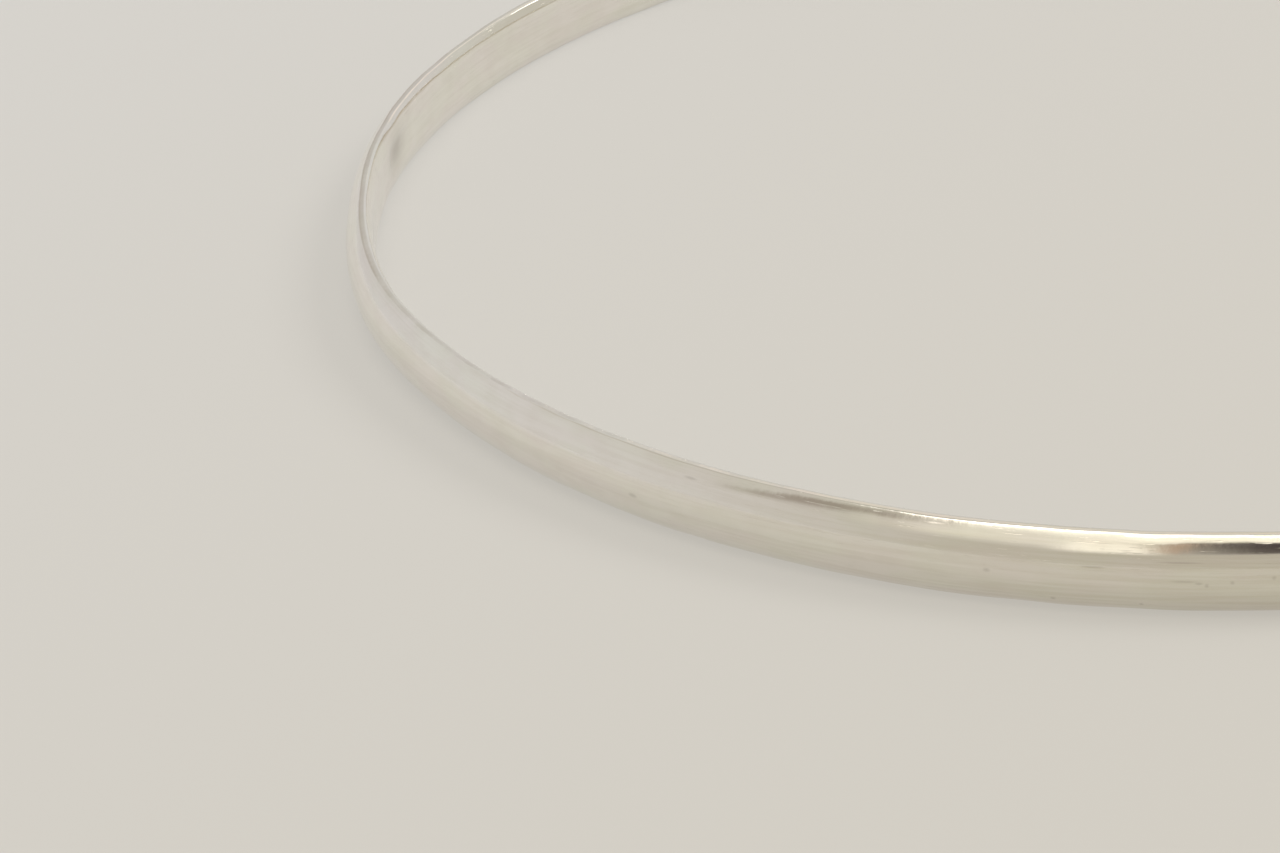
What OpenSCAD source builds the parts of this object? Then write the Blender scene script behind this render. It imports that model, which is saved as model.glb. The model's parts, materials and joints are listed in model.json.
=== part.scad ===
// Closed slip-on bangle bracelet of low-dome silver wire with a slightly rounded inside wall.
// The ring lies flat with its axis on Z and its centre at the origin.

/* [Ring] */
// Inside diameter at the middle of the wall, which a folded hand passes through
inner_d = 64.6; // [54:0.1:76]

/* [Wire section] */
// Height of the wire along the ring's axis
wire_h = 2.6; // [2.4:0.1:8]
// Thickness of the wire at the crown of its dome
wire_t = 1.05; // [0.9:0.05:2]
// Width of the rim left along each edge, its rounding included
rim_t = 0.25; // [0.2:0.01:0.5]
// Height of the straight band along the middle of the inside wall
wall_flat = 1.2; // [1.2:0.1:1.6]
// How far the inside wall curves back between that band and each edge
wall_back = 0.2; // [0.08:0.01:0.25]
// Rounding of the edge that meets the skin
inner_round = 0.12; // [0.05:0.01:0.15]

/* [Soldered joint] */
// Direction of the joint seen from above, anticlockwise from +X
joint_at = 45; // [0:1:359]
// Gap between the two ends of the wire, which the solder fills
joint_gap = 0.12; // [0.05:0.01:0.3]

/* [Blank stamp] */
// Direction of the blank stamp on the inside
stamp_at = 176.5; // [0:0.5:359]
// Length of the stamp round the ring
stamp_l = 3.2; // [2:0.1:6]
// Height of the stamp
stamp_h = 1.0; // [0.5:0.1:1.2]
// Depth of the stamp
stamp_depth = 0.06; // [0.02:0.01:0.12]

/* [Hidden] */
$fn = 180;
inner_r = inner_d / 2;
dome_rise = wire_t - wall_back - rim_t;
dome_r = (pow(wire_h / 2, 2) + pow(dome_rise, 2)) / (2 * dome_rise);
dome_centre_r = inner_r + wire_t - dome_r;
wall_fall = (wire_h - wall_flat) / 2;
wall_r = (pow(wall_fall, 2) + pow(wall_back, 2)) / (2 * wall_back);
round_up = wire_h / 2 - inner_round;
round_turn = asin((round_up - wall_flat / 2) / (wall_r - inner_round));
round_out = wall_r - (wall_r - inner_round) * cos(round_turn);
cut_reach = 2 * wire_t;

// The wire's section: X is the distance from the ring's axis and Y runs along the axis
module wire_section() {
    intersection() {
        inner_side();
        translate([dome_centre_r, 0])
            circle(r = dome_r);
    }
}

// Everything outward of the inside wall, between the two rims
module inner_side() {
    difference() {
        union() {
            translate([inner_r, -wall_flat / 2])
                square([wire_t, wall_flat]);
            intersection() {
                for (side = [-1, 1])
                    translate([inner_r + wall_r, side * wall_flat / 2])
                        circle(r = wall_r);
                translate([inner_r, -wire_h / 2])
                    square([wire_t, wire_h]);
            }
        }
        for (side = [-1, 1])
            edge_waste(side);
    }
}

// The sharp corner that is taken off where the inside wall meets a rim
module edge_waste(side) {
    reach = wall_back + inner_round;
    toward_wall = reach * [-cos(round_turn), side * sin(round_turn)];
    toward_rim = reach * [0, side];
    translate([inner_r + round_out, side * round_up])
        difference() {
            polygon([[0, 0], toward_wall, toward_wall + toward_rim, toward_rim]);
            circle(r = inner_round);
        }
}

// The wire's section turned into a full ring, before the joint is opened
module full_ring() {
    rotate_extrude()
        wire_section();
}

// A flat slab across the wire where its two ends meet
module joint_slab() {
    rotate([0, 0, joint_at])
        translate([inner_r - cut_reach, -joint_gap / 2, -wire_h])
            cube([3 * cut_reach, joint_gap, 2 * wire_h]);
}

// A shallow blank stamp with round ends, of even depth in the inside wall's straight band
module stamp_recess() {
    end_r = stamp_h / 2;
    straight = stamp_l - stamp_h;
    intersection() {
        cylinder(h = wire_h, r = inner_r + stamp_depth, center = true);
        rotate([0, 0, stamp_at])
            translate([inner_r - cut_reach, 0, 0])
                rotate([90, 0, 90])
                    linear_extrude(2 * cut_reach)
                        union() {
                            square([straight, stamp_h], center = true);
                            for (side = [-1, 1])
                                translate([side * straight / 2, 0])
                                    circle(r = end_r);
                        }
    }
}

// The silver wire, bent round until its square ends almost touch
module band() {
    color("silver")
        difference() {
            full_ring();
            joint_slab();
            stamp_recess();
        }
}

// The thin film of silver solder that closes the ring, filed flush with the wire
module solder_seam() {
    color("lightgray")
        intersection() {
            full_ring();
            joint_slab();
        }
}

band();
solder_seam();
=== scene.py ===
"""A plain slip-on silver bangle lying flat on a pale table, in soft studio light."""

import json
import math

import bmesh
import bpy
import numpy as np
from mathutils import Matrix, Vector


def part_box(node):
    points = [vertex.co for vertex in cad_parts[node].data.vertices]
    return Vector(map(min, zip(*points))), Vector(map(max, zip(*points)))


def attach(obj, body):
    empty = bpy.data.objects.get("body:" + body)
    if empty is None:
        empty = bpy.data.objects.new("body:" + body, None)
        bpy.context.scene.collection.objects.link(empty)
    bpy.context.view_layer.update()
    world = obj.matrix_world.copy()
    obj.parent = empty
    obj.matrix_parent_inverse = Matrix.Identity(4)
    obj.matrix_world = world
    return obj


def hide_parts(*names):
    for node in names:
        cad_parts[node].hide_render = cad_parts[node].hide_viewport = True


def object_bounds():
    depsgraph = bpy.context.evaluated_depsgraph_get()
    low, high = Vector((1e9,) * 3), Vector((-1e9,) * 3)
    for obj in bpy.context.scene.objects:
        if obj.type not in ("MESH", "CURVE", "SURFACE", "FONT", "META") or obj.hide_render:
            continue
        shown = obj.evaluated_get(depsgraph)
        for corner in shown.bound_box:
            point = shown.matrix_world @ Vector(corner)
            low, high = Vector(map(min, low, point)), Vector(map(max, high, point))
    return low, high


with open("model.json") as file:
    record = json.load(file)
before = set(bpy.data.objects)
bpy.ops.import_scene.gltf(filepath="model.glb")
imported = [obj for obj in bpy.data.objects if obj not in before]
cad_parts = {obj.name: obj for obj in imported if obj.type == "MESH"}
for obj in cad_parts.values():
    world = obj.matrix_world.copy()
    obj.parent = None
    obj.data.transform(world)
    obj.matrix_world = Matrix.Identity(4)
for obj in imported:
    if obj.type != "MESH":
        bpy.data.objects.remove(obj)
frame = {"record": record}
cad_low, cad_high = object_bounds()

# Lengths are in millimetres and angles in degrees up to the point where Blender needs metres and radians.
MM = 0.001

# The ring, from the frame
INNER_R = next(m["dims"]["r_mm"] for m in frame["record"]["mounts"] if m["name"] == "wrist_opening")
OUTER_R = (cad_high.x - cad_low.x) / 2 / MM
WIRE_H = (cad_high.z - cad_low.z) / MM
TABLE_Z = cad_low.z / MM
seam_low, seam_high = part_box("solder_seam")
JOINT_AT = math.degrees(math.atan2(seam_low.y + seam_high.y, seam_low.x + seam_high.x))

# The wire's section: a dome outside, flat rims, and an inside wall that curves back from its straight middle
WIRE_T = OUTER_R - INNER_R
WALL_FLAT = 1.2
WALL_BACK = 0.2
RIM_T = 0.25
INNER_ROUND = 0.12
OUTER_ROUND = 0.12
DOME_RISE = WIRE_T - WALL_BACK - RIM_T
DOME_R = ((WIRE_H / 2) ** 2 + DOME_RISE**2) / (2 * DOME_RISE)
WALL_R = (((WIRE_H - WALL_FLAT) / 2) ** 2 + WALL_BACK**2) / (2 * WALL_BACK)

# The soldered joint
JOINT_GAP = 0.12
SEAM_SINK = 0.004

# The blank stamp on the inside wall, and the burr round it. The wall is where the surface faces inwards by more
# than WALL_FACES.
STAMP_AT = 176.5
STAMP_L = 3.2
STAMP_H = 1.0
STAMP_DEPTH = 0.04
STAMP_LIP = 0.22
BURR_H = 0.005
BURR_OUT = 0.1
BURR_W = 0.06
WALL_FACES = -0.9

# The smear of grey in the stamp: its middle, along and up from the stamp's, and its half length and half height
SMEAR_AT = (0.5, 0.15)
SMEAR_SIZE = (1.2, 0.62)

# Where bending by hand left the ring in or out of a true circle: azimuth, how far out, and width in degrees
BENDS = (
    (-85, -0.05, 8), (-104, 0.04, 11), (-131, -0.03, 10), (-154, 0.095, 7), (-172, -0.09, 8),
    (165, 0.015, 12), (118, -0.03, 12), (88, 0.035, 11), (22, 0.04, 14), (-12, -0.035, 12), (-48, 0.03, 13),
)

# Random ripples, broad and fine over the surface and along the filed edges: how many, their longest and
# shortest length along the wire, and how far they tilt the surface. Slant is how steeply they run across the
# wire, and up is how much of them the rims take.
BROAD_RIPPLES = dict(count=26, longest=24, shortest=5, tilt=0.30)
FINE_RIPPLES = dict(count=60, longest=4, shortest=1.0, tilt=0.28)
EDGE_RIPPLES = dict(count=14, longest=9, shortest=1.8, tilt=0.8)
RIPPLE_SLANT = 0.6
RIPPLE_UP = 0.3
SEED = 11

# The filed edges: where they start, as a share of half the wire's height, and how far they are filed down
EDGE_FROM = 0.75
EDGE_FILED = 0.016

# Where the silver has yellowed, and where it is painted darker and warmer: azimuth, how much, and width in
# degrees.
# The broad one at the front is partly yellowing and partly painted shade, a darker, warmer front for the dim,
# warm surroundings it reflects. The narrow one is the heated joint.
YELLOWING_AND_SHADE = ((-85, 0.6, 32), (150, 0.12, 20), (45, 0.25, 5))

# Small pits and short streaks in the dome: azimuth, height on the dome, half length and half height
SPOTS = (
    (-91.7, -0.12, 0.08, 0.09), (-92.1, -0.05, 0.14, 0.06), (-92.8, 0.01, 0.50, 0.05),
    (-90.4, -0.01, 0.08, 0.08), (-93.0, 0.59, 0.75, 0.04), (-97.5, 0.37, 0.45, 0.04),
    (-103.1, -0.02, 0.14, 0.09), (-99.7, -0.90, 0.10, 0.09), (-95.1, -0.94, 0.09, 0.07),
    (-88.3, 0.14, 0.08, 0.08), (-124.9, -0.13, 0.22, 0.10), (-121.0, 0.98, 0.30, 0.06),
)

# How finely the wire is cut: sections round the ring, and points on each stretch of a section
SECTIONS = 1170
SEAM_SECTIONS = 5
DOME_POINTS = 27
FLAT_POINTS = 15
CURVE_POINTS = 6
OUTER_ROUND_POINTS = 4
INNER_ROUND_POINTS = 6
RIM_POINTS = 2

# The two metals: bright colour, dull colour and roughness. Then the colours that both turn to in places.
SILVER = ((0.915, 0.894, 0.853, 1), (0.83, 0.80, 0.74, 1), 0.08)
SOLDER = ((0.72, 0.69, 0.62, 1), (0.55, 0.50, 0.42, 1), 0.2)
# The yellowed colour also paints a darker, warmer shade on the front of the ring.
YELLOWED_AND_SHADED = (0.70, 0.655, 0.545, 1)
GREYED = (0.42, 0.38, 0.34, 1)
PINKER = (1.005, 0.991, 1.0, 1)
GREENER = (0.995, 1.006, 0.986, 1)

# Patterns in the metal: how often each repeats in a millimetre along and across the wire, and its turn
LINES = dict(scale=(0.22, 7.0), detail=5.0, seed=3.1)
CROSS_RIPPLES = dict(scale=(3.2, 2.2), detail=3.0, seed=7.7)
CLOUDS = dict(scale=(1.0, 1.6), detail=5.0, seed=12.3)
SCRATCHES = dict(scale=(0.40, 20.0), turn=1.5, detail=2.0, seed=5.5)
SLANTED = dict(scale=(0.9, 20.0), turn=-24.0, detail=2.0, seed=9.1)
TINTS = dict(scale=(0.35, 0.9), detail=3.0, seed=21.9)

# What the patterns do between two levels of their noise, and for the longer ones, from which effect to which.
# The clouds add up to ROUGHER to the roughness.
SCRATCH_SHOWS = (0.66, 0.73)
SLANTED_SHOWS = (0.66, 0.72)
CLOUD_DULLS = (0.36, 0.66, 0.0, 0.28)
LINES_DULL = (0.40, 0.66, 0.0, 0.28)
# The fine lines streak the yellowing, and the painted shade on the front.
LINES_YELLOWING_AND_SHADE = (0.38, 0.66, 0.84, 1.16)
CLOUD_ROUGHENS = (0.35, 0.7)
TINT_TURNS = (0.35, 0.65)
ROUGHER = 0.05

# How much each mark dulls, greys or roughens the metal, and how high it stands, in units of RELIEF
MARKS_DULL = 0.35
STAMP_GREYS = 0.6
PIT_GREYS = 0.3
MARKS_ROUGHEN = 0.06
STAMP_ROUGHENS = 0.10
LINES_STAND = 0.6
RIPPLES_STAND = 0.8
RIPPLES_AT_EDGE = 2.4
PIT_SINKS = -1.2
RELIEF = 0.0015

# Scattered pits: how often one may come in a millimetre, and where it fades out and is full. The listed spots
# fade in the same way, at these shares of their half size.
PIT_SCALE = 0.4
PIT_FADE = (0.028, 0.012)
SPOT_FADE = (1.2, 0.2)

# The table: its size, its surface, and how it glows from inside, which turns cooler towards the left
TABLE_HALF = 1500
TABLE_COLOUR = (0.18, 0.176, 0.168, 1)
TABLE_ROUGH = 0.85
TABLE_SHINE = 0.2
TABLE_GLOW = (0.434, 0.411, 0.365, 1)
TABLE_GLOW_LEFT = (0.46, 0.452, 0.438, 1)
TABLE_LEFT = (-0.85, 0.5, 0)
GLOW_TURNS = (-60, 100)

# The room's walls, and what they turn to towards some azimuths: azimuth, where the change starts and ends as
# the cosine of the angle to that azimuth, and colour
WALLS = (0.595, 0.56, 0.49, 1)
WALL_TURNS = (
    (170, 0.3, 0.95, (0.675, 0.655, 0.62, 1)),
    (98, 0.0, 0.95, (0.68, 0.67, 0.65, 1)),
)

# Bright and dark panels round the ring, each in front of those before it in the list. A direction whose cosine
# to a panel's middle is under AHEAD is never inside the panel.
PANELS = (
    # azimuth, elevation, half width, half height, softness of the sides and of the top and bottom, colour
    (-93, 66, 21, 8, (6, 3), (1.38, 1.32, 1.15, 1)),
    (-90, 79, 19, 6, (6, 3), (4.0, 3.8, 3.4, 1)),
    (-122, 46, 11, 14, (8, 8), (0.90, 0.86, 0.76, 1)),
    (-105, 43, 5.5, 16, (2.5, 4), (1.20, 1.13, 1.00, 1)),
    (-71, 44, 17, 13, (9, 2), (0.085, 0.07, 0.068, 1)),
    (-97, 42, 1.2, 12, (1.6, 4), (0.56, 0.42, 0.32, 1)),
    (-154, 47, 4.5, 11, (3.5, 7), (0.375, 0.335, 0.285, 1)),
    (86, 36, 12, 10, (2.5, 2), (0.86, 0.795, 0.73, 1)),
    (126, 12, 16, 12, (12, 8), (0.63, 0.605, 0.58, 1)),
    (113, 19, 10, 8, (7, 6), (0.48, 0.445, 0.40, 1)),
    (124, 50, 14, 9, (8, 6), (0.54, 0.50, 0.44, 1)),
    (140, 77, 16, 5, (5, 3), (3.0, 2.9, 2.8, 1)),
    (60, 56, 7, 11, (3, 4), (0.13, 0.125, 0.12, 1)),
    (22, 44, 13, 12, (4, 4), (8.0, 7.8, 7.4, 1)),
    (-15, 48, 6, 12, (3, 4), (0.13, 0.125, 0.12, 1)),
)
AHEAD = 0.02

# The photograph's viewpoint: the eye's distance, azimuth and elevation, what it looks at, its tilt, its lens
# and sensor, and the nearest and farthest that it sees
EYE_DISTANCE = 147.8
EYE_AZIMUTH = -90
EYE_ELEVATION = 22.3
AIM = (-19.455, -22.651)
ROLL = 4.503
LENS = 110.22
SENSOR = 36
CLIP = (5, 20000)


# ---- small helpers ----

def smooth(low, high, x):
    """A smooth step from 0 at low to 1 at high, and flat beyond them. High may be the smaller of the two."""
    t = np.clip((x - low) / (high - low), 0, 1)
    return t * t * (3 - 2 * t)


def crowded(low, high, count, centres, width, crowding, steps=4000):
    """count numbers from low to high, closer together by (1 + crowding) times near each centre."""
    fine = np.linspace(low, high, steps)
    density = 1 + crowding * sum(np.exp(-(((fine - c) / width) ** 2)) for c in centres)
    total = np.concatenate([[0], np.cumsum((density[1:] + density[:-1]) / 2)])
    return np.interp(np.linspace(0, total[-1], count), total, fine)


def turned(azimuth, centre):
    """How many degrees an azimuth in radians lies past a centre in degrees, from -180 to 180."""
    return (np.degrees(azimuth) - centre + 180) % 360 - 180


def bumps(azimuth, listed):
    """The sum of the listed bumps (azimuth in degrees, height, width in degrees) at each azimuth in radians."""
    return sum(height * np.exp(-((turned(azimuth, at) / width) ** 2)) for at, height, width in listed)


def direction(azimuth, elevation):
    """The unit vector towards an azimuth and an elevation."""
    a, e = math.radians(azimuth), math.radians(elevation)
    return Vector((math.cos(e) * math.cos(a), math.cos(e) * math.sin(a), math.sin(e)))


def axes_facing(ahead):
    """The level direction to the right of ahead, and the one above it, for someone who looks that way."""
    right = ahead.cross(Vector((0, 0, 1))).normalized()
    return right, right.cross(ahead)


# ---- the wire ----

def arc(centre_out, centre_up, radius, start, end, count, ends=True):
    """Points (out, up) on an arc from start to end degrees, with or without its ends, and how each faces."""
    a = np.radians(np.linspace(start, end, count) if ends else np.linspace(start, end, count + 2)[1:-1])
    way = np.column_stack([np.cos(a), np.sin(a)])
    return np.array([centre_out, centre_up]) + radius * way, way


def line(out_from, up_from, out_to, up_to, count, way):
    """Points along a straight stretch, without its ends, and the direction it faces."""
    t = np.linspace(0, 1, count + 2)[1:-1, None]
    points = (1 - t) * np.array([out_from, up_from]) + t * np.array([out_to, up_to])
    return points, np.tile(np.array(way, float), (count, 1))


def section():
    """The outline of the wire: points (out, up) from the middle of the inside wall, and the way each faces. It
    starts on the lower rim and runs over the dome, the upper rim and the inside wall."""
    half = WIRE_H / 2
    dome_out = WIRE_T - DOME_R
    fillet_up = half - OUTER_ROUND
    fillet_out = dome_out + math.sqrt((DOME_R - OUTER_ROUND) ** 2 - fillet_up**2)
    edge = math.degrees(math.asin(fillet_up / (DOME_R - OUTER_ROUND)))
    round_up = half - INNER_ROUND
    turn = math.degrees(math.asin((round_up - WALL_FLAT / 2) / (WALL_R - INNER_ROUND)))
    round_out = WALL_R - (WALL_R - INNER_ROUND) * math.cos(math.radians(turn))
    stamp_edges = (-STAMP_H / 2, STAMP_H / 2)
    flat = crowded(WALL_FLAT / 2, -WALL_FLAT / 2, FLAT_POINTS, stamp_edges, width=0.09, crowding=2.2)
    stretches = [
        line(round_out, -half, fillet_out, -half, RIM_POINTS, (0, -1)),
        arc(fillet_out, -fillet_up, OUTER_ROUND, -90, -edge, OUTER_ROUND_POINTS),
        arc(dome_out, 0, DOME_R, -edge, edge, DOME_POINTS, ends=False),
        arc(fillet_out, fillet_up, OUTER_ROUND, edge, 90, OUTER_ROUND_POINTS),
        line(fillet_out, half, round_out, half, RIM_POINTS, (0, 1)),
        arc(round_out, round_up, INNER_ROUND, 90, 180 - turn, INNER_ROUND_POINTS),
        arc(WALL_R, WALL_FLAT / 2, WALL_R, 180 - turn, 180, CURVE_POINTS, ends=False),
        (np.column_stack([np.zeros_like(flat), flat]), np.tile([-1.0, 0.0], (len(flat), 1))),
        arc(WALL_R, -WALL_FLAT / 2, WALL_R, 180, 180 + turn, CURVE_POINTS, ends=False),
        arc(round_out, -round_up, INNER_ROUND, 180 + turn, 270, INNER_ROUND_POINTS),
    ]
    points = np.vstack([s[0] for s in stretches])
    ways = np.vstack([s[1] for s in stretches])
    return points, ways


def distances(points):
    """How far along the outline each point lies from the first, and last, how long the whole outline is."""
    step = np.linalg.norm(np.roll(points, -1, axis=0) - points, axis=1)
    return np.concatenate([[0], np.cumsum(step)])


def waves(rng, count, longest, shortest, tilt):
    """Random ripples that close on themselves round the ring: turns, slope across, phase and height of each."""
    round_ring = 2 * math.pi * OUTER_R
    turns = rng.integers(round(round_ring / longest), round(round_ring / shortest), count)
    across = rng.normal(0, 1, count) * turns / OUTER_R * RIPPLE_SLANT
    length = 2 * math.pi / np.hypot(turns / OUTER_R, across)
    height = math.radians(tilt) * length / (2 * math.pi) / math.sqrt(count / 2)
    return list(zip(turns, across, rng.uniform(0, 2 * math.pi, count), height))


def ripple(ripples, azimuth, across):
    """Height of the ripples at each azimuth in radians and each distance across the wire."""
    total = np.zeros(np.broadcast(azimuth, across).shape)
    for turns, slope, phase, height in ripples:
        total += height * np.sin(turns * azimuth + slope * across + phase)
    return total


def wire(name, starts_at, ends_at, sections, sink=0.0):
    """A closed length of the wire between two azimuths, cut square at its ends across the joint. Its surface
    may be sunk a little."""
    points, ways = section()
    around = crowded(starts_at, ends_at, sections, (STAMP_AT,), width=4.0, crowding=1.6)
    across = distances(points)
    azimuth = np.radians(around)[:, None] * np.ones(len(points))
    out = np.tile(points[:, 0], (len(around), 1))
    up = np.tile(points[:, 1], (len(around), 1))
    # square ends: a cut parallel to the joint's middle plane
    joint = math.radians(JOINT_AT)
    half_gap = np.arcsin(JOINT_GAP / 2 / (INNER_R + points[:, 0]))
    for end, given in ((0, starts_at), (-1, ends_at)):
        turn = round((math.radians(given) - joint) / (2 * math.pi)) * 2 * math.pi
        side = np.sign(math.radians(given) - joint - turn)
        azimuth[end] = joint + turn + side * half_gap
    rng = np.random.default_rng(SEED)
    broad = waves(rng, **BROAD_RIPPLES)
    fine = waves(rng, **FINE_RIPPLES)
    edges = [waves(rng, **EDGE_RIPPLES) for _ in range(2)]
    height = ripple(broad, azimuth, across[:-1]) + ripple(fine, azimuth, across[:-1])
    # the filed edges wander a little in height and never stand above the wire's full height
    rise = smooth(EDGE_FROM, 1.0, np.abs(up) / (WIRE_H / 2))
    wander = np.where(up > 0, ripple(edges[0], azimuth, 0.0), ripple(edges[1], azimuth, 0.0))
    up = up - np.sign(up) * rise * (EDGE_FILED + wander)
    # the blank stamp, only on the inside wall, and the slight burr round it
    along = (azimuth - math.radians(STAMP_AT)) * INNER_R
    past = np.maximum(np.abs(along) - (STAMP_L - STAMP_H) / 2, 0)
    reach = np.hypot(past, up) - STAMP_H / 2
    burr = BURR_H * np.exp(-(((reach - BURR_OUT) / BURR_W) ** 2))
    stamp = STAMP_DEPTH * smooth(STAMP_LIP, -STAMP_LIP, reach) - burr
    faces_in = ways[:, 0] < WALL_FACES
    out = out + np.where(faces_in, stamp, 0)
    # the ripples move the surface the way it faces, but the rims less
    out = out + (height - sink) * ways[:, 0]
    up = up + (height - sink) * ways[:, 1] * RIPPLE_UP
    up = np.clip(up, -WIRE_H / 2, WIRE_H / 2)
    radius = (INNER_R + out + bumps(azimuth, BENDS)) * MM
    co = np.stack([radius * np.cos(azimuth), radius * np.sin(azimuth), up * MM], axis=-1)
    smear = ((along - SMEAR_AT[0]) / SMEAR_SIZE[0]) ** 2 + ((up - SMEAR_AT[1]) / SMEAR_SIZE[1]) ** 2
    marks = {
        "stamp": np.where(faces_in, np.exp(-smear), 0),
        # yellowing, and painted darker, warmer shade on the front, at the listed azimuths
        "yellowing_and_shade": bumps(azimuth, YELLOWING_AND_SHADE),
        "edge": rise,
    }
    return loft(name, co, (azimuth - joint) * OUTER_R, across, marks)


def loft(name, co, along, across, marks):
    """A closed smooth tube through rows of points, with flat ends, a UV map in millimetres along and across it,
    and a number at each point for each kind of mark."""
    rows, columns = co.shape[:2]
    mesh = bpy.data.meshes.new(name)
    first = np.arange(rows - 1)[:, None] * columns
    j = np.arange(columns)
    k = (j + 1) % columns
    corners = [first + j, first + k, first + columns + k, first + columns + j]
    quads = np.stack(corners, axis=-1).reshape(-1, 4)
    ends = [list(range(columns))[::-1], list(range((rows - 1) * columns, rows * columns))]
    mesh.from_pydata(co.reshape(-1, 3).tolist(), [], quads.tolist() + ends)
    u = np.stack([along[:-1, j], along[:-1, k], along[1:, k], along[1:, j]], axis=-1)
    v = np.stack([across[:-1], across[1:], across[1:], across[:-1]], axis=-1)
    uv = np.zeros((len(mesh.loops), 2))
    uv[: quads.size, 0] = u.reshape(-1)
    uv[: quads.size, 1] = np.tile(v.reshape(-1), rows - 1)
    mesh.uv_layers.new(name="wire").data.foreach_set("uv", uv.reshape(-1))
    for mark, amount in marks.items():
        mesh.attributes.new(mark, "FLOAT", "POINT").data.foreach_set("value", amount.reshape(-1))
    mesh.polygons.foreach_set("use_smooth", [True] * len(quads) + [False] * len(ends))
    fix = bmesh.new()
    fix.from_mesh(mesh)
    bmesh.ops.recalc_face_normals(fix, faces=fix.faces)
    for edge in fix.edges:
        if any(len(f.verts) > 4 for f in edge.link_faces):
            edge.smooth = False
    fix.to_mesh(mesh)
    fix.free()
    piece = bpy.data.objects.new(name, mesh)
    bpy.context.collection.objects.link(piece)
    return piece


# ---- shader nodes ----

def add(tree, kind, inputs=None, **settings):
    """A new shader node, with its settings, and its inputs linked to sockets or set to values."""
    node = tree.nodes.new("ShaderNode" + kind)
    for name, value in settings.items():
        setattr(node, name, value)
    for key, value in (inputs or {}).items():
        if isinstance(value, bpy.types.NodeSocket):
            tree.links.new(value, node.inputs[key])
        else:
            node.inputs[key].default_value = value
    return node


def calc(tree, operation, *values):
    """The result of a Math node."""
    return add(tree, "Math", dict(enumerate(values)), operation=operation).outputs[0]


def plus(tree, base, extra, amount):
    """base with extra added to it, amount times."""
    return calc(tree, "ADD", base, calc(tree, "MULTIPLY", extra, amount))


def dot(tree, first, second):
    """The dot product of two vectors."""
    return add(tree, "VectorMath", {0: first, 1: second}, operation="DOT_PRODUCT").outputs["Value"]


def ramp(tree, value, low, high, to_low=0.0, to_high=1.0):
    """value between low and high, taken smoothly to between to_low and to_high."""
    inputs = {"Value": value, "From Min": low, "From Max": high, "To Min": to_low, "To Max": to_high}
    return add(tree, "MapRange", inputs, interpolation_type="SMOOTHSTEP").outputs[0]


def mixed(tree, amount, first, second, blend="MIX"):
    """A colour between two colours, or the first blended with the second in another way."""
    inputs = {0: amount, 6: first, 7: second}
    return add(tree, "Mix", inputs, data_type="RGBA", blend_type=blend).outputs[2]


def grain(tree, place, scale, turn=0.0, detail=3.0, seed=0.0):
    """Noise in the wire's own millimetres, scale (along, across), turned by some degrees. A seed shifts it."""
    shift = (seed, seed * 0.7, seed)
    inputs = {"Vector": place, "Location": shift, "Rotation": (0, 0, math.radians(turn)), "Scale": (*scale, 1)}
    moved = add(tree, "Mapping", inputs).outputs[0]
    return add(tree, "TexNoise", {"Vector": moved, "Scale": 1.0, "Detail": detail}).outputs[0]


# ---- the metal ----

def metal(name, bright, dull, rough):
    """Hand-polished silver: fine polishing lines, cross ripples, sparse scratches, pits, faint tarnish, and a
    painted darker, warmer shade on the front.
    """
    material = bpy.data.materials.new(name)
    material.use_nodes = True
    tree = material.node_tree
    tree.nodes.clear()
    place = add(tree, "UVMap", uv_map="wire").outputs[0]
    stamp, yellowing_and_shade, edge = (add(tree, "Attribute", attribute_name=mark).outputs["Fac"]
                            for mark in ("stamp", "yellowing_and_shade", "edge"))
    lines = grain(tree, place, **LINES)
    cross = grain(tree, place, **CROSS_RIPPLES)
    cloud = grain(tree, place, **CLOUDS)
    scratch = ramp(tree, grain(tree, place, **SCRATCHES), *SCRATCH_SHOWS)
    slanted = ramp(tree, grain(tree, place, **SLANTED), *SLANTED_SHOWS)
    marks = calc(tree, "MAXIMUM", scratch, slanted)
    pit = pits(tree, place)
    # tarnish: a faint cloud and fine streaks everywhere, and a broad yellowing in places, which at the front is
    # partly painted darker, warmer shade
    dark = ramp(tree, cloud, *CLOUD_DULLS)
    dark = calc(tree, "ADD", dark, ramp(tree, lines, *LINES_DULL))
    dark = plus(tree, dark, marks, MARKS_DULL)
    colour = mixed(tree, dark, bright, dull)
    yellowing_and_shade = calc(tree, "MULTIPLY", yellowing_and_shade, ramp(tree, lines, *LINES_YELLOWING_AND_SHADE))
    colour = mixed(tree, yellowing_and_shade, colour, YELLOWED_AND_SHADED)
    # a breath of pink or green in places, and grey in the stamp and the pits
    tint = ramp(tree, grain(tree, place, **TINTS), *TINT_TURNS)
    colour = mixed(tree, 1.0, colour, mixed(tree, tint, PINKER, GREENER), blend="MULTIPLY")
    grey = [calc(tree, "MULTIPLY", stamp, STAMP_GREYS), calc(tree, "MULTIPLY", pit, PIT_GREYS)]
    colour = mixed(tree, calc(tree, "MAXIMUM", *grey), colour, GREYED)
    roughness = ramp(tree, cloud, *CLOUD_ROUGHENS, rough, rough + ROUGHER)
    roughness = plus(tree, roughness, marks, MARKS_ROUGHEN)
    roughness = plus(tree, roughness, stamp, STAMP_ROUGHENS)
    # relief: lines and ripples stand up, stronger ripples at the edges, and scratches and pits go down
    ripples = calc(tree, "MULTIPLY", cross, plus(tree, RIPPLES_STAND, edge, RIPPLES_AT_EDGE))
    relief = plus(tree, ripples, lines, LINES_STAND)
    relief = calc(tree, "SUBTRACT", relief, marks)
    relief = plus(tree, relief, pit, PIT_SINKS)
    bump = add(tree, "Bump", {"Height": relief, "Distance": RELIEF * MM, "Strength": 1.0}).outputs[0]
    inputs = {"Base Color": colour, "Metallic": 1.0, "Roughness": roughness, "Normal": bump}
    add(tree, "OutputMaterial", {"Surface": add(tree, "BsdfPrincipled", inputs).outputs[0]})
    return material


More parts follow.
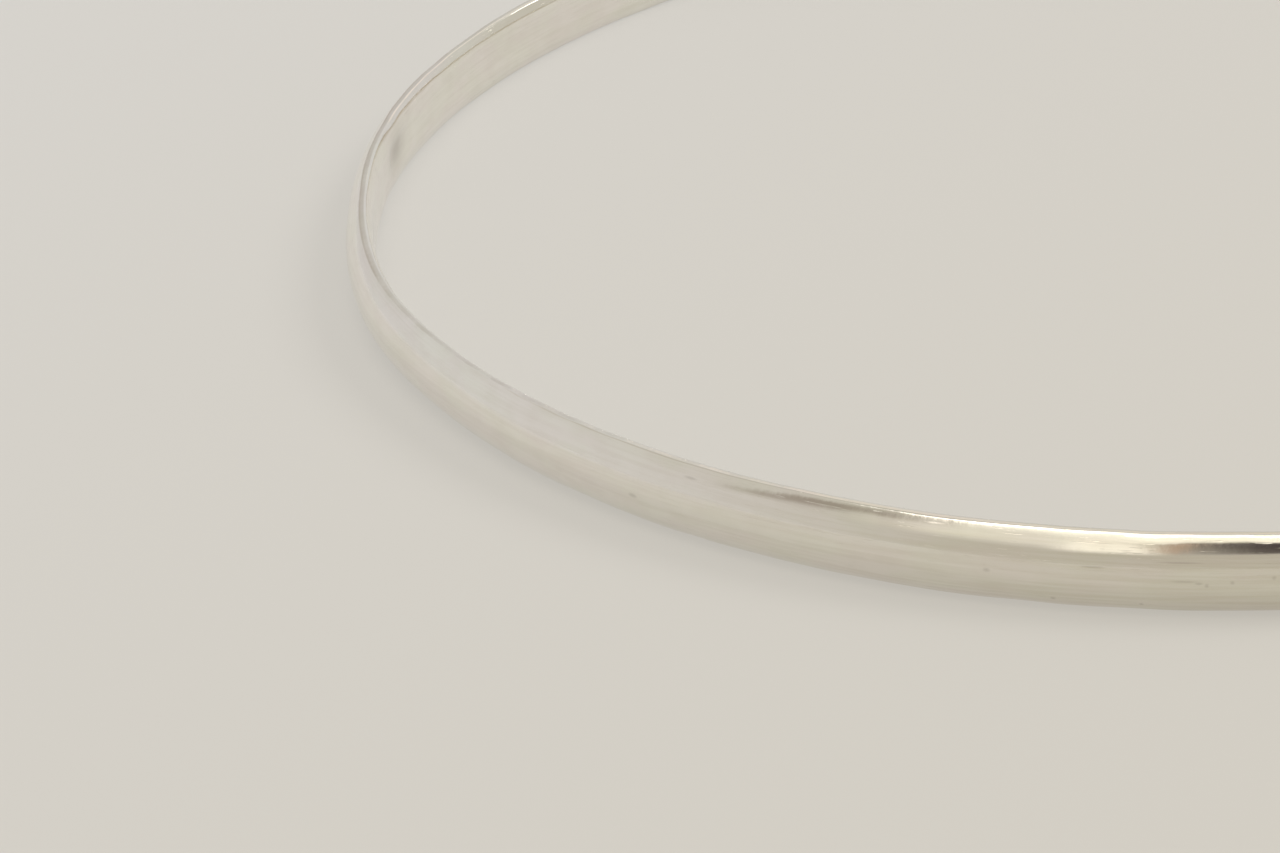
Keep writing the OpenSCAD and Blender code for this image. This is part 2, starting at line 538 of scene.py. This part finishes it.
def pits(tree, place):
    """1 in the listed spots and in a few small pits scattered thinly elsewhere, and 0 outside them."""
    inputs = {"Vector": place, "Scale": PIT_SCALE, "Randomness": 1.0}
    found = ramp(tree, add(tree, "TexVoronoi", inputs).outputs["Distance"], *PIT_FADE)
    for azimuth, up, half_length, half_height in SPOTS:
        middle = (math.radians((azimuth - JOINT_AT) % 360) * OUTER_R, across_at(up), 0)
        off = add(tree, "VectorMath", {0: place, 1: middle}, operation="SUBTRACT").outputs[0]
        size = (half_length, half_height, 1)
        off = add(tree, "VectorMath", {0: off, 1: size}, operation="DIVIDE").outputs[0]
        away = add(tree, "VectorMath", {0: off}, operation="LENGTH").outputs["Value"]
        found = calc(tree, "MAXIMUM", found, ramp(tree, away, *SPOT_FADE))
    return found


def across_at(up):
    """The distance across the wire, from where the outline starts, of the point of the dome at some height."""
    points, _ = section()
    dome = points[:, 0] > WIRE_T - DOME_RISE
    return float(np.interp(up, points[dome, 1], distances(points)[:-1][dome]))


# ---- the room ----

def panel(tree, look, azimuth, elevation, half_width, half_height, edges):
    """1 inside a soft-edged panel seen in some direction from the ring, and 0 outside it. Sizes are in degrees,
    and edges are the softness of its sides and of its top and bottom."""
    ahead = direction(azimuth, elevation)
    depth, *sideways = [dot(tree, look, way) for way in (ahead, *axes_facing(ahead))]
    inside = calc(tree, "GREATER_THAN", depth, AHEAD)
    for part, half, edge in zip(sideways, (half_width, half_height), edges):
        slope = calc(tree, "ABSOLUTE", calc(tree, "DIVIDE", part, depth))
        outer, inner = (math.tan(math.radians(x)) for x in (half + edge, max(half - edge, 0.0)))
        inside = calc(tree, "MULTIPLY", inside, ramp(tree, slope, outer, inner))
    return inside


def room():
    """The soft studio round the ring, as a world: pale walls with soft panels, some bright and some dark."""
    world = bpy.data.worlds.new("studio")
    bpy.context.scene.world = world
    world.use_nodes = True
    tree = world.node_tree
    tree.nodes.clear()
    look = add(tree, "TexCoord").outputs["Generated"]
    colour = WALLS
    for azimuth, low, high, tone in WALL_TURNS:
        toward = dot(tree, look, direction(azimuth, 0))
        colour = mixed(tree, ramp(tree, toward, low, high), colour, tone)
    for azimuth, elevation, half_width, half_height, edges, glow in PANELS:
        inside = panel(tree, look, azimuth, elevation, half_width, half_height, edges)
        colour = mixed(tree, inside, colour, glow)
    background = add(tree, "Background", {"Color": colour, "Strength": 1.0})
    add(tree, "OutputWorld", {"Surface": background.outputs[0]})


def table():
    """A plain pale table under the ring: lit from above, and softly from inside, cooler towards the left."""
    half = TABLE_HALF * MM
    mesh = bpy.data.meshes.new("table_top")
    corners = [(-half, -half, 0), (half, -half, 0), (half, half, 0), (-half, half, 0)]
    mesh.from_pydata(corners, [], [(0, 1, 2, 3)])
    top = bpy.data.objects.new("table_top", mesh)
    bpy.context.collection.objects.link(top)
    top.location.z = TABLE_Z * MM
    material = bpy.data.materials.new("pale_table")
    material.use_nodes = True
    tree = material.node_tree
    leftness = dot(tree, add(tree, "TexCoord").outputs["Object"], TABLE_LEFT)
    cooler = ramp(tree, leftness, *(MM * end for end in GLOW_TURNS))
    glow = mixed(tree, cooler, TABLE_GLOW, TABLE_GLOW_LEFT)
    shader = tree.nodes["Principled BSDF"]
    shader.inputs["Base Color"].default_value = TABLE_COLOUR
    shader.inputs["Roughness"].default_value = TABLE_ROUGH
    shader.inputs["Specular IOR Level"].default_value = TABLE_SHINE
    shader.inputs["Emission Strength"].default_value = 1.0
    tree.links.new(glow, shader.inputs["Emission Color"])
    mesh.materials.append(material)


def camera():
    """The photograph's viewpoint."""
    data = bpy.data.cameras.new("camera")
    data.lens = LENS
    data.sensor_width = SENSOR
    data.clip_start, data.clip_end = (MM * far for far in CLIP)
    eye = direction(EYE_AZIMUTH, EYE_ELEVATION) * EYE_DISTANCE
    ahead = (Vector((*AIM, 0)) - eye).normalized()
    right, above = axes_facing(ahead)
    tilt = Matrix.Rotation(math.radians(ROLL), 3, ahead)
    axes = Matrix((tilt @ right, tilt @ above, -ahead)).transposed()
    viewer = bpy.data.objects.new("camera", data)
    bpy.context.collection.objects.link(viewer)
    viewer.matrix_world = Matrix.Translation(eye * MM) @ axes.to_4x4()
    bpy.context.scene.camera = viewer


# ---- the scene ----

camera()
room()
table()

half_joint = math.degrees(math.asin(JOINT_GAP / 2 / INNER_R))
band = wire("silver_band", JOINT_AT + half_joint, JOINT_AT + 360 - half_joint, SECTIONS)
band.data.materials.append(metal("polished_silver", *SILVER))
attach(band, "root")
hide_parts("band")

seam = wire("solder_film", JOINT_AT - half_joint, JOINT_AT + half_joint, SEAM_SECTIONS, SEAM_SINK)
seam.data.materials.append(metal("silver_solder", *SOLDER))
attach(seam, "root")
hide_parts("solder_seam")

view = bpy.context.scene.view_settings
view.view_transform = "Standard"
view.look = "None"
